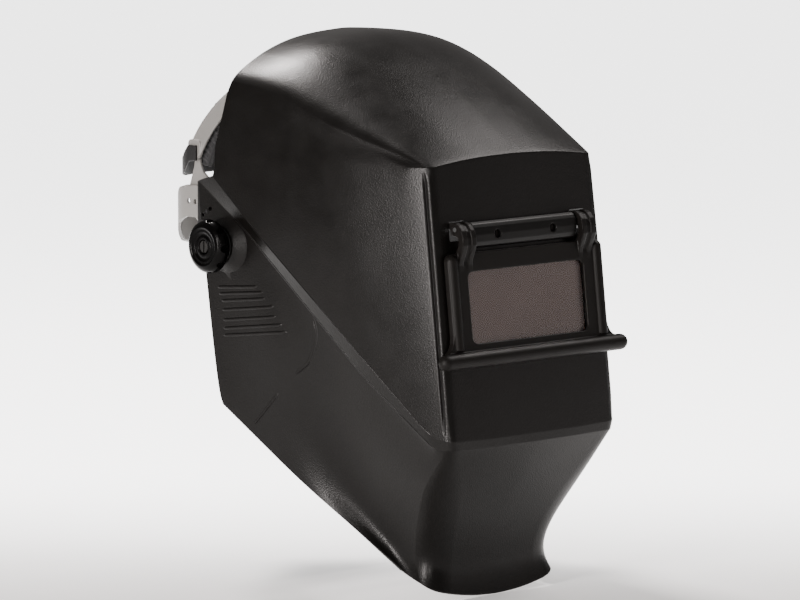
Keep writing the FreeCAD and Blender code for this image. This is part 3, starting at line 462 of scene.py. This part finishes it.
# groove beside the face's corner bead
ci = np.abs((tv + 1.0) - MIDC)                    # column index counted from the centre line
lev = np.interp(tu + 1.0, np.arange(MR), LEVELS)  # row level of each sample
fade = np.clip((lev - 2.22)/0.12, 0, 1) * np.clip((3.97 - lev)/0.10, 0, 1)
prof = np.exp(-((ci - 13.15)/0.36)**2)
bead = np.exp(-((ci - 11.7)/0.80)**2)
depth = -1.15*fade[:, None]*prof[None, :] + 0.55*fade[:, None]*bead[None, :]
P = P + N*depth[:, :, None]
N = normals(P)
if N[P.shape[0]//2, P.shape[1]//2][1] > 0:
    N = -N


def build_shell():
    nr, nc = P.shape[0], P.shape[1]
    # the inside comes from a coarser sheet, offset inwards
    iu = np.arange(0, nr, 2) if nr % 2 == 1 else None
    assert iu is not None and nc % 2 == 1, (nr, nc)
    iv = np.arange(0, nc, 2)
    # inside offset from an undented surface
    Q0 = surf(tu, tv)
    NQ = normals(Q0)
    if NQ[nr//2, nc//2][1] > 0: NQ = -NQ
    Q = (Q0 - NQ*WALL)[np.ix_(iu, iv)]
    verts = [tuple(p) for p in P.reshape(-1, 3)]
    faces = []
    def o(i, j): return i*nc + j
    for i in range(nr-1):
        for j in range(nc-1):
            faces.append((o(i, j), o(i, j+1), o(i+1, j+1), o(i+1, j)))
    base = len(verts)
    mi, mj = len(iu), len(iv)
    verts += [tuple(p) for p in Q.reshape(-1, 3)]
    def q(i, j): return base + i*mj + j
    for i in range(mi-1):
        for j in range(mj-1):
            faces.append((q(i, j), q(i+1, j), q(i+1, j+1), q(i, j+1)))
    # border loops, in order
    loop_o = [(0, j) for j in range(nc)] + [(i, nc-1) for i in range(1, nr)] + [(nr-1, j) for j in range(nc-2, -1, -1)] + [(i, 0) for i in range(nr-2, 0, -1)]
    n = len(loop_o)
    # rounded rim: two loops between the outside and the inside
    prev = [o(*a) for a in loop_o]
    Po = np.array([P[a] for a in loop_o]); 
    Pi = Po - np.array([N[a] for a in loop_o])*WALL
    # outward tangent at the border
    T = []
    for (i, j) in loop_o:
        t = np.zeros(3)
        if i == 0: t += P[0, j]-P[1, j]
        if i == nr-1: t += P[nr-1, j]-P[nr-2, j]
        if j == 0: t += P[i, 0]-P[i, 1]
        if j == nc-1: t += P[i, nc-1]-P[i, nc-2]
        nn = N[i, j]
        t -= nn*(t@nn)
        T.append(t/np.linalg.norm(t))
    T = np.array(T)
    for (f, b) in ((0.12, 0.30), (0.34, 0.55), (0.66, 0.55), (0.88, 0.30)):
        L = Po*(1-f)+Pi*f + T*b
        start = len(verts)
        verts += [tuple(p) for p in L]
        cur = [start+k for k in range(n)]
        for k in range(n):
            k2 = (k+1) % n
            faces.append((prev[k], cur[k], cur[k2], prev[k2]))
        prev = cur
    # last loop to the inside sheet
    inner_of = {}
    for k, (i, j) in enumerate(loop_o):
        if i % 2 == 0 and j % 2 == 0:
            inner_of[k] = q(i//2, j//2)
    keys = sorted(inner_of)
    for a, b in zip(keys, keys[1:] + [keys[0]]):
        mid = [prev[k % n] for k in range(a, (b if b > a else b + n) + 1)]
        faces.append(tuple(mid + [inner_of[b], inner_of[a]]))
    ob = new_obj("shell_skin", verts, faces)
    bm = bmesh.new(); bm.from_mesh(ob.data)
    bmesh.ops.recalc_face_normals(bm, faces=bm.faces)
    bad = [e for e in bm.edges if not e.is_manifold]
    print("shell skin: verts", len(bm.verts), "faces", len(bm.faces), "non-manifold edges", len(bad), "volume cm3", round(bm.calc_volume(signed=True)*1e6, 1))
    bm.to_mesh(ob.data); bm.free()
    return ob


def cutter(name, pieces):
    """one cutting mesh from closed pieces given as (verts, faces)"""
    vs, fs = [], []
    for v, f in pieces:
        k = len(vs)
        vs += [tuple(p) for p in v]
        fs += [tuple(i+k for i in q) for q in f]
    o = new_obj(name, vs, fs)
    weld(o, 1e-7)
    return o


def prism(ring, d):
    """closed prism on a ring of points, along d"""
    n = len(ring)
    v = list(ring) + [p + d for p in ring]
    f = [tuple(range(n))[::-1], tuple(range(n, 2*n))] + [(i, (i+1) % n, n+(i+1) % n, n+i) for i in range(n)]
    return v, f


def rrect(u0, u1, v0, v1, r, k=6):
    pts = []
    for (cu, cv, a0) in ((u1-r, v1-r, 0), (u0+r, v1-r, 90), (u0+r, v0+r, 180), (u1-r, v0+r, 270)):
        for i in range(k+1):
            a = math.radians(a0 + 90*i/k)
            pts.append((cu + r*math.cos(a), cv + r*math.sin(a)))
    return pts


def circle_x(x0, x1, r, y, z, k=24):
    ring = [np.array([x0, y + r*math.cos(2*math.pi*i/k), z + r*math.sin(2*math.pi*i/k)]) for i in range(k)]
    return prism(ring, np.array([x1-x0, 0, 0]))


def turned(name, prof, s, seg=128):
    """prof: closed outline of (|x|, r); revolved about the X axis on side s"""
    vs, fs = [], []
    n = len(prof)
    for k in range(seg):
        a = 2*math.pi*k/seg
        for (x, r) in prof:
            vs.append((s*x, PY + r*math.cos(a), PZ + r*math.sin(a)))
    for k in range(seg):
        k2 = (k+1) % seg
        for i in range(n):
            i2 = (i+1) % n
            fs.append((k*n+i, k*n+i2, k2*n+i2, k2*n+i))
    return weld(new_obj(name, vs, fs), 1e-8)


def combine(o, other, op):
    m = o.modifiers.new("b", "BOOLEAN")
    m.operation = op
    m.solver = "MANIFOLD"
    m.object = other
    apply_mods(o)
    bpy.data.objects.remove(other)
    print(op, len(o.data.vertices), flush=True)
    assert len(o.data.vertices) > 1000
    return o


skin = build_shell()
for s in (-1, 1):
    # moulded boss round the pivot, standing out of the wall inside and out
    boss = turned("boss", [(103.42, 2.0), (103.42, 19.2), (103.9, 19.8), (105.2, 20.0), (107.0, 18.6), (109.4, 15.6), (111.2, 14.2), (111.9, 13.5), (112.15, 12.9), (112.18, 2.0)], s)
    combine(skin, boss, "UNION")
cuts = [prism([face(u, v, -9) for u, v in rrect(-57.6, 57.6, -31.4, 28.4, 3.0)], FN*16)]
for s in (-1, 1):
    a, b = sorted((s*45.4, s*58.8))
    cuts.append(prism([face(u, v, -9) for u, v in rrect(a, b, 41.4, 53.9, 0.8, 3)], FN*16))
    cuts.append(circle_x(s*96, s*122, 5.0, PY, PZ, 32))
    for ang in STOP_ANG:
        cuts.append(circle_x(s*100, s*122, 1.45, PY + STOP_R*math.cos(math.radians(ang)), PZ + STOP_R*math.sin(math.radians(ang)), 20))
cut = cutter("cut_tmp", cuts)
combine(skin, cut, "DIFFERENCE")
smooth(skin, 38)
finish_piece(skin, "shell_body", M["shell"], "shell_plastic", "shell")



def wall_x(y, z):
    """half width of the outside of the shell at (y, z)"""
    return W(y, z)


from mathutils.bvhtree import BVHTree
_bm = bmesh.new(); _bm.from_mesh(skin.data)
SKIN = BVHTree.FromBMesh(_bm); _bm.free()


def tree_hit(y, z, s):
    loc, nor, idx, dist = SKIN.ray_cast(Vector((s*0.4, y*MM, z*MM)), Vector((-s, 0, 0)), 0.4)
    if loc is None:
        return (s*W(y, z), y, z, s, 0, 0)
    if nor.x*s < 0:
        nor = -nor
    return (loc.x/MM, loc.y/MM, loc.z/MM, nor.x, nor.y, nor.z)


def lay(pts, width, up, down, s, taper=3.0, k=12):
    """a long low form of lens section laid on the side of the shell along (y, z) points"""
    pts = np.array(pts, float)
    L = np.concatenate([[0], np.cumsum(np.linalg.norm(np.diff(pts, axis=0), axis=1))])
    n = max(8, int(L[-1]/1.0))
    t = np.linspace(0, L[-1], n)
    c = np.stack([np.interp(t, L, pts[:, 0]), np.interp(t, L, pts[:, 1])], 1)
    for _ in range(4):
        c[1:-1] = (c[:-2] + 2*c[1:-1] + c[2:])/4
    d = np.gradient(c, axis=0)
    d /= np.linalg.norm(d, axis=1, keepdims=True)
    nrm = np.stack([-d[:, 1], d[:, 0]], 1)
    verts, faces = [], []
    for q in range(n):
        e = min(1.0, t[q]/taper, (L[-1]-t[q])/taper)
        e = max(0.05, math.sqrt(max(0.0, 1-(1-e)**2)))
        for i in range(k):
            a = 2*math.pi*i/k
            w, h = math.cos(a)*width/2*(0.3+0.7*e), math.sin(a)*(up if math.sin(a) > 0 else down)*e
            yy, zz = c[q] + nrm[q]*w
            hit = tree_hit(yy, zz, s)
            verts.append((hit[0] + hit[3]*h, hit[1] + hit[4]*h, hit[2] + hit[5]*h))
    for q in range(n-1):
        for i in range(k):
            j = (i+1) % k
            faces.append((q*k+i, q*k+j, (q+1)*k+j, (q+1)*k+i))
    faces.append(tuple(range(k))[::-1])
    faces.append(tuple((n-1)*k+i for i in range(k)))
    return weld(new_obj("lay", verts, faces), 1e-8)


# moulded lines on both sides: seven low ribs below the knob, and two faint creases
RIBS = [((17.7, -31.0), (-15.0, -28.3)), ((16.5, -35.2), (-20.0, -31.4)), ((14.5, -39.6), (-21.6, -35.4)), ((14.0, -45.5), (-28.1, -40.1)),
        ((13.6, -52.0), (-29.6, -46.4)), ((13.4, -57.4), (-34.3, -51.2)), ((13.4, -62.0), (-38.2, -55.6))]
CREASES = [([(-59.2, -44.6), (-61.4, -52.1), (-60.4, -59.9), (-57.9, -65.3), (-52.9, -74.7), (-43.1, -82.0)], 2.2, 0.30),
           ([(-28.1, -96.3), (-8.2, -117.7)], 2.0, 0.40)]
for s in (-1, 1):
    for (a, b) in RIBS:
        combine(skin, lay([a, b], 2.2, 0.42, 0.5, s), "UNION")
    for pts, wd, dp in CREASES:
        combine(skin, lay(pts, wd, 0.8, dp, s), "DIFFERENCE")
for s in (-1, 1):
    for lv, i0, up in ((2.0, 17, 0.26), (2.2, 17, 0.22)):
        pts = row(lv, NL, NA)[i0:35, 1:]
        combine(skin, lay(pts, 1.1, up, 0.5, s, taper=12.0, k=8), "UNION")
smooth(skin, 38)
print("skin faces", len(skin.data.polygons), flush=True)

# ------------------------------------------------------------------ lift front and hinge
# fuller rounding in the four corners of the frame's window
gussets = []
for su in (-1, 1):
    for sv, ve in ((-1, -24.0), (1, 21.5)):
        ring = [(su*(50.2-4.6+4.6*math.cos(a)), ve-sv*(4.6-4.6*math.sin(a))) for a in np.linspace(0, math.pi/2, 9)]
        ring = [(su*51.2, ring[0][1])] + ring + [(ring[-1][0], ve+sv*1.0), (su*51.2, ve+sv*1.0)]
        gussets.append(([(u, v, 2.6) for u, v in ring] + [(u, v, 4.4) for u, v in ring],
                        [tuple(range(len(ring)))[::-1], tuple(range(len(ring), 2*len(ring)))] + [(i, (i+1) % len(ring), len(ring)+(i+1) % len(ring), len(ring)+i) for i in range(len(ring))]))
o = soften("lift_frame", "lift_front_moulding", 0.42, 3, 0.5, 110000, FACE_M, extra=gussets)
finish_piece(o, "lift_front", M["frame"], "frame_plastic", "lift_frame")
o = soften("hinge_bar", "hinge_bar_moulding", 0.36, 3, 0.5, 40000, FACE_M)
finish_piece(o, "shell_body", M["bar"], "black_plastic", "hinge_bar")
o = soften("lens_holder", "lens_holder_moulding", 0.5, 2, 0.5, 70000, FACE_M)
finish_piece(o, "shell_body", M["black"], "black_plastic", "lens_holder")
for s, nm in ((-1, "right"), (1, "left")):
    o = soften("tension_knob_" + nm, "tension_knob_moulding_" + nm, 0.30, 2, 0.5, 70000)
    finish_piece(o, "tension_knob_" + nm, M["knob"], "knob_plastic", "tension_knob_" + nm)
    o = soften("pivot_bracket_" + nm, "pivot_bracket_moulding_" + nm, 0.45, 2, 0.5, 50000)
    finish_piece(o, "headgear", M["black"], NODE_SLOT["pivot_bracket_" + nm], "pivot_bracket_" + nm)

# ------------------------------------------------------------------ headgear
for n, body, v in (("headband", "headgear", 0.42), ("crown_strap_right", "headgear", 0.42), ("crown_strap_left", "headgear", 0.42), ("rear_strap", "headgear", 0.45),
                   ("rear_band_right", "rear_band", 0.42), ("rear_band_left", "rear_band", 0.42), ("ratchet_housing", "rear_band", 0.42), ("ratchet_cover", "rear_band", 0.42),
                   ("ratchet_knob", "ratchet", 0.36), ("band_guide_right", "headgear", 0.36), ("band_guide_left", "headgear", 0.36)):
    o = soften(n, n + "_moulding", v, 2, 0.5, 60000)
    finish_piece(o, body, M[SLOT_MAT[NODE_SLOT[n]]], NODE_SLOT[n], n)


# ------------------------------------------------------------------ padded pieces
def puff(node, name, voxel, pressure, cap, frames=20, shrink=0.0, subd=1):
    """the CAD pad swollen by air pressure, each point held within cap of where it began"""
    src = NODES[node]
    me = src.data.copy()
    o = bpy.data.objects.new(name, me)
    col.objects.link(o)
    weld(o, 1e-6)
    m = o.modifiers.new("r", "REMESH")
    m.mode = "VOXEL"
    m.voxel_size = voxel*MM
    m.adaptivity = 0.0
    apply_mods(o)
    weld(o, 1e-7)
    me = o.data
    n = len(me.vertices)
    co = np.empty(n*3); me.vertices.foreach_get("co", co); co = co.reshape(-1, 3)
    if shrink:
        no = np.empty(n*3); me.vertices.foreach_get("normal", no); no = no.reshape(-1, 3)
        co2 = co - no*shrink*MM
        me.vertices.foreach_set("co", co2.ravel()); me.update()
    base = co.copy()
    c = o.modifiers.new("c", "CLOTH")
    st = c.settings
    st.quality = 6
    st.mass = 0.2
    st.tension_stiffness = 25
    st.compression_stiffness = 25
    st.shear_stiffness = 15
    st.bending_stiffness = 1.5
    st.use_pressure = True
    st.uniform_pressure_force = pressure
    st.effector_weights.gravity = 0
    c.collision_settings.use_collision = False
    c.collision_settings.use_self_collision = False
    c.point_cache.frame_start = 1
    c.point_cache.frame_end = frames
    sc = bpy.context.scene
    for f in range(1, frames + 1):
        sc.frame_set(f)
    apply_mods(o)
    sc.frame_set(1)
    me = o.data
    co = np.empty(n*3); me.vertices.foreach_get("co", co); co = co.reshape(-1, 3)
    mv = co - base
    d = np.linalg.norm(mv, axis=1, keepdims=True)
    k = np.minimum(1.0, cap*MM/np.maximum(d, 1e-9))
    co = base + mv*k
    me.vertices.foreach_set("co", co.ravel())
    me.update()
    print("puffed", name, "verts", n, "largest move mm", round(float(d.max()/MM), 2))
    s = o.modifiers.new("s", "SMOOTH"); s.factor = 0.5; s.iterations = 3
    if subd:
        q = o.modifiers.new("q", "SUBSURF"); q.levels = subd; q.render_levels = subd
    apply_mods(o)
    me = o.data
    me.materials.clear()
    smooth(o, None)
    return o


def shape_verts(o, fn):
    me = o.data
    n = len(me.vertices)
    co = np.empty(n*3); me.vertices.foreach_get("co", co); co = co.reshape(-1, 3)/MM
    no = np.empty(n*3); me.vertices.foreach_get("normal", no); no = no.reshape(-1, 3)
    co = fn(co, no)
    me.vertices.foreach_set("co", (co*MM).ravel())
    me.update()


def groove(d, w, h):
    """depth of a sewn channel at distance d from its line"""
    return -h*np.exp(-(d/w)**2)


# brow pad: terry over foam, with a sewn border and three sewn channels
o = puff("sweatband", "brow_pad", 1.5, 3.0, 0.35, shrink=0.3)


def brow(co, no):
    ang = np.degrees(np.arctan2(co[:, 0], -(co[:, 1]-16.0)))        # 0 at the front
    zlo, zhi = 7.2, np.interp(-co[:, 1], [-24, 20, 90], [30, 39.6, 43.6])
    t = np.zeros(len(co))
    for a in (-58, -30, 0, 30, 58):
        t += groove(np.abs(ang-a)*1.35, 1.3, 0.55)
    e = np.minimum(co[:, 2]-zlo, zhi-co[:, 2])
    t += groove(np.abs(e-3.4), 0.8, 0.45)
    # soft loops of the terry
    t += 0.07*np.sin(co[:, 2]*4.1 + 2*np.sin(ang*0.9))*np.sin(ang*3.3)
    return co + no*t[:, None]


shape_verts(o, brow)
finish_piece(o, "headgear", M["terry"], "sweatband", "sweatband")

# crown pad: ribbed foam under the crown straps
o = puff("crown_pad", "crown_cushion", 1.3, 3.0, 0.3, shrink=0.75, subd=1)
CRO, CRD = np.array([0, 72.2, 50.0]), np.array([0, -0.435, 0.9004])
CRD = CRD/np.linalg.norm(CRD)
CRN = np.cross(np.array([1.0, 0, 0]), CRD)


def crown(co, no):
    q = co - CRO
    x, h, w = q[:, 0], q@CRD, q@CRN
    a = np.arctan2(h/60.0, x/77.0)
    s = a*70.0                                                     # length along the arch, about
    k = 0.5*(1-np.cos(2*np.pi*s/4.6))
    edge = np.clip((9.6-np.abs(w))/2.0, 0, 1)
    return co + no*(0.62*k*edge - 0.1)[:, None]


shape_verts(o, crown)
finish_piece(o, "headgear", M["foam"], NODE_SLOT["crown_pad"], "crown_pad")

# nape pad: a cushion on the ratchet's cover
o = puff("nape_pad", "nape_cushion", 1.2, 3.0, 0.3, shrink=0.3)


def nape(co, no):
    t = np.zeros(len(co))
    for a in (-16.5, 0, 16.5):
        t += groove(np.abs(co[:, 0]-a), 1.0, 0.6)*np.clip((110.5-co[:, 1])/2.0, 0, 1)
    return co + no*t[:, None]


shape_verts(o, nape)
finish_piece(o, "rear_band", M["foam"], NODE_SLOT["nape_pad"], "nape_pad")

# ------------------------------------------------------------------ camera
th, ph, D, F = math.radians(42.0), math.radians(7.4), 3500.0, 5355.0
r_ = np.array([math.cos(th), -math.sin(th), 0.0])
b_ = np.array([-math.sin(th)*math.cos(ph), -math.cos(th)*math.cos(ph), math.sin(ph)])
u_ = np.cross(b_, r_)
k_ = F/D
T_ = r_*((400-362)/k_) - u_*((300-228.5)/k_)
C_ = T_ + b_*D
cam = bpy.data.cameras.new("cam")
cam.sensor_width = 36.0
cam.lens = F*36.0/800.0
cam.clip_start, cam.clip_end = 0.1, 50.0
co_ = bpy.data.objects.new("cam", cam)
col.objects.link(co_)
co_.matrix_world = Matrix(((r_[0], u_[0], b_[0], C_[0]*MM), (r_[1], u_[1], b_[1], C_[1]*MM), (r_[2], u_[2], b_[2], C_[2]*MM), (0, 0, 0, 1)))
bpy.context.scene.camera = co_


# ------------------------------------------------------------------ light and floor
def area(name, loc, target, size, power, color=(1, 1, 1), size_y=None):
    l = bpy.data.lights.new(name, "AREA")
    l.energy = power
    l.size = size
    if size_y:
        l.shape = "RECTANGLE"
        l.size_y = size_y
    l.color = color
    ob = bpy.data.objects.new(name, l)
    col.objects.link(ob)
    ob.location = loc
    d = Vector(target) - Vector(loc)
    ob.rotation_euler = d.to_track_quat("-Z", "Y").to_euler()
    return ob


WARM = (1.0, 0.945, 0.92)
area("top_right", (0.80, -0.28, 1.05), (0, -0.05, 0.05), 0.62, 12, WARM)
area("left_strip", (-1.80, -0.40, 0.24), (0, -0.05, 0), 0.30, 46, WARM, size_y=1.05)
area("corner_strip", (-1.30, -1.30, 0.16), (0, -0.14, 0), 0.10, 11, WARM, size_y=1.3)
area("overhead", (0.14, 0.88, 1.42), (0, 0, 0.05), 0.26, 44, WARM)
area("lens_card", (1.05, -1.22, 0.02), (0, -0.15, -0.03), 0.5, 0.62, (1.0, 0.90, 0.88), size_y=0.5)
w = bpy.data.worlds.new("w")
bpy.context.scene.world = w
w.use_nodes = True
w.node_tree.nodes["Background"].inputs["Color"].default_value = (1.0, 0.955, 0.93, 1)
w.node_tree.nodes["Background"].inputs["Strength"].default_value = 0.25

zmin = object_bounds()[0][2]
bm = bmesh.new()
bmesh.ops.create_circle(bm, cap_ends=True, cap_tris=False, segments=96, radius=6.0)
me = bpy.data.meshes.new("floor")
bm.to_mesh(me); bm.free()
floor = bpy.data.objects.new("floor", me)
col.objects.link(floor)
floor.location = (0, 0, zmin - 0.0005)
fm = mat("floor_paper", (0.93, 0.93, 0.93), rough=0.85, vary=0.01, rough_vary=0.02)
# the paper glows where it runs back behind the helmet, as a lit backdrop does
nt = fm.node_tree
pb = nt.nodes["Principled BSDF"]
pb.inputs["Emission Color"].default_value = (1, 1, 1, 1)
tc = nt.nodes.new("ShaderNodeTexCoord")


def vdot(vec):
    n = nt.nodes.new("ShaderNodeVectorMath")
    n.operation = "DOT_PRODUCT"
    nt.links.new(tc.outputs["Object"], n.inputs[0])
    n.inputs[1].default_value = vec
    return n.outputs["Value"]


def ramp(src, a0, a1, b0, b1):
    n = nt.nodes.new("ShaderNodeMapRange")
    n.interpolation_type = "SMOOTHSTEP"
    n.inputs["From Min"].default_value, n.inputs["From Max"].default_value = a0, a1
    n.inputs["To Min"].default_value, n.inputs["To Max"].default_value = b0, b1
    nt.links.new(src, n.inputs["Value"])
    return n.outputs["Result"]


def op(kind, a, b):
    n = nt.nodes.new("ShaderNodeMath")
    n.operation = kind
    for i, q in enumerate((a, b)):
        if isinstance(q, (int, float)):
            n.inputs[i].default_value = q
        elif q is not None:
            nt.links.new(q, n.inputs[i])
    return n.outputs["Value"]


along = vdot((0.669, 0.743, 0.0))
lateral = op("ABSOLUTE", vdot((0.743, -0.669, 0.0)), None)
mask = op("MULTIPLY", ramp(along, -0.16, 0.42, 0.0, 1.0), ramp(lateral, 0.75, 1.5, 1.0, 0.0))
nt.links.new(op("MULTIPLY", mask, 3.4), pb.inputs["Emission Strength"])
floor.data.materials.append(fm)
